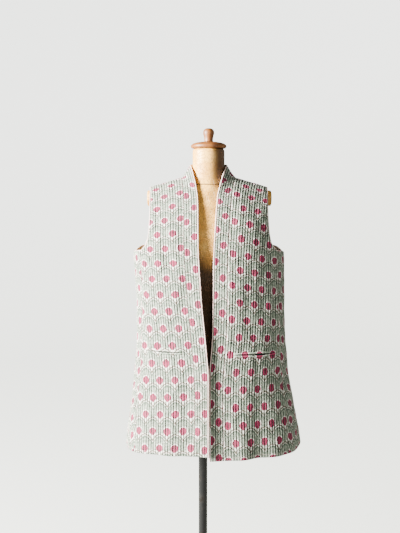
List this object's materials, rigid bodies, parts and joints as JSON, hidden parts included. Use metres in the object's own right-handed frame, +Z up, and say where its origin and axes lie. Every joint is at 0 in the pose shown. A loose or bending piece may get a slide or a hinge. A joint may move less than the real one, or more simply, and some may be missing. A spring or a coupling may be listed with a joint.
{
  "type": "quilted waistcoat on a dress form",
  "caption": "Long sleeveless quilted cotton waistcoat with a stand collar, open front band and slit pockets, worn by a limbless dress form on a pole with a round base",
  "frame": {"origin": "centre of the base's flat underside, on the pole's axis", "axes": "+Z up, the garment's front faces -Y, +X is to the right as seen from the front"},
  "size_m": [0.5253, 0.39, 1.558],
  "materials": {
    "printed_cotton": "matte",
    "pale_edge": "matte",
    "gold_leather": "satin",
    "warm_wood": "satin",
    "dark_steel": "satin"
  },
  "bodies": {
    "root": {"front_left": "printed_cotton", "front_right": "printed_cotton", "back": "printed_cotton", "band_left": "printed_cotton", "band_right": "printed_cotton", "edging_left": "pale_edge", "edging_right": "pale_edge", "pocket_upper_left": "printed_cotton", "pocket_lower_left": "printed_cotton", "pocket_upper_right": "printed_cotton", "pocket_lower_right": "printed_cotton", "form_torso": "gold_leather", "neck_cap": "warm_wood", "cap_knob": "warm_wood", "pole": "dark_steel", "base": "dark_steel"}
  },
  "joints": []
}
